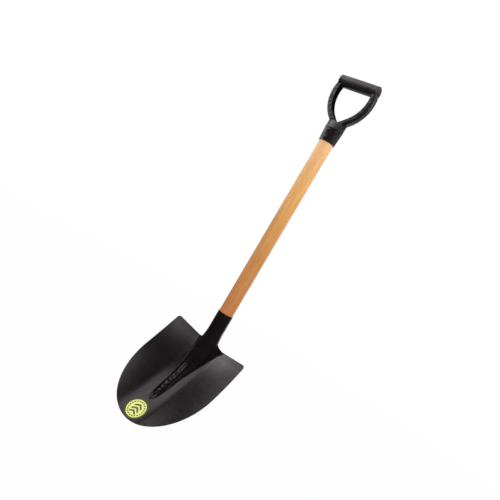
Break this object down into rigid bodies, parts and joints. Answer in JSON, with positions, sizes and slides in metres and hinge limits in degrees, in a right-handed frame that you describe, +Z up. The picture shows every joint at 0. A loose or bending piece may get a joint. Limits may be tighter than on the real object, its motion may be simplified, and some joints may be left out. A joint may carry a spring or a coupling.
{
  "type": "round-mouth shovel",
  "caption": "Short digging shovel with a dished, pointed-oval steel blade on a rolled socket, a round wooden shaft and a bowed D grip with a cross bar.",
  "frame": {"origin": "on the shaft's axis at the underside of the hand bar, where a peg carries the tool when it hangs", "axes": "+Z up along the shaft towards the grip, -Y the way the hollow face of the blade looks, +X to the right seen from that side"},
  "size_m": [0.25, 0.1764, 0.9748],
  "materials": {
    "blade_paint": "semi-gloss black stove enamel on pressed steel",
    "shaft_wood": "turned hardwood under a thin clear varnish",
    "rivet_paint": "steel rivets, painted over with the piece they hold",
    "yoke_paint": "semi-gloss black paint on a casting",
    "bar_plastic": "moulded black plastic, slightly polished by the hand",
    "label_paper": "round printed sticker with a dark rim"
  },
  "bodies": {
    "root": {"blade": "blade_paint", "shaft": "shaft_wood", "socket_rivet_upper": "rivet_paint", "socket_rivet_lower": "rivet_paint", "yoke": "yoke_paint", "yoke_rivet_lower": "rivet_paint", "yoke_rivet_upper": "rivet_paint", "grip_bar": "bar_plastic", "bar_rivet": "rivet_paint", "label": "label_paper"}
  },
  "joints": []
}
